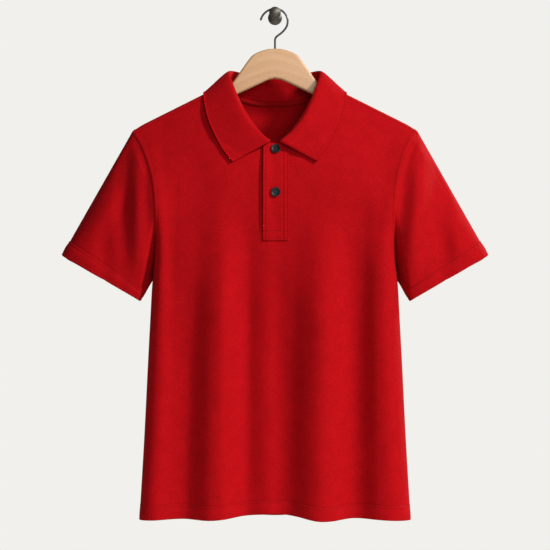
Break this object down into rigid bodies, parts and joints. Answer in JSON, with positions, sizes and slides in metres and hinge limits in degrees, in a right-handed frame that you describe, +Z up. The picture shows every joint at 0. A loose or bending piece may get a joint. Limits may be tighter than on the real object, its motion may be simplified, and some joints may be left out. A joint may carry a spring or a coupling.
{
  "type": "polo shirt on a wooden hanger and wall peg",
  "caption": "Short-sleeved pique polo shirt with a rib collar and a buttoned placket, hanging open and unworn on a wooden hanger hooked over a wall peg.",
  "frame": {"origin": "centre of the wall peg's back face, on the wall", "axes": "+Y into the wall, so the shirt's front faces -Y; +Z up; +X to the wearer's left, the viewer's right"},
  "size_m": [0.6742, 0.128, 0.8104],
  "materials": {
    "red_pique": "matt knitted cotton pique",
    "red_rib": "matt flat-knitted cotton rib",
    "button_resin": "satin cast resin",
    "beech": "satin varnish",
    "dark_steel": "darkened wire",
    "pewter": "dark satin"
  },
  "bodies": {
    "root": {"front_panel": "red_pique", "back_panel": "red_pique", "sleeve_left": "red_pique", "sleeve_right": "red_pique", "placket_top": "red_pique", "placket_under": "red_pique", "collar": "red_rib", "neck_tape": "red_rib", "button_upper": "button_resin", "button_lower": "button_resin", "hanger_body": "beech", "hanger_hook": "dark_steel", "wall_peg": "pewter"}
  },
  "joints": []
}
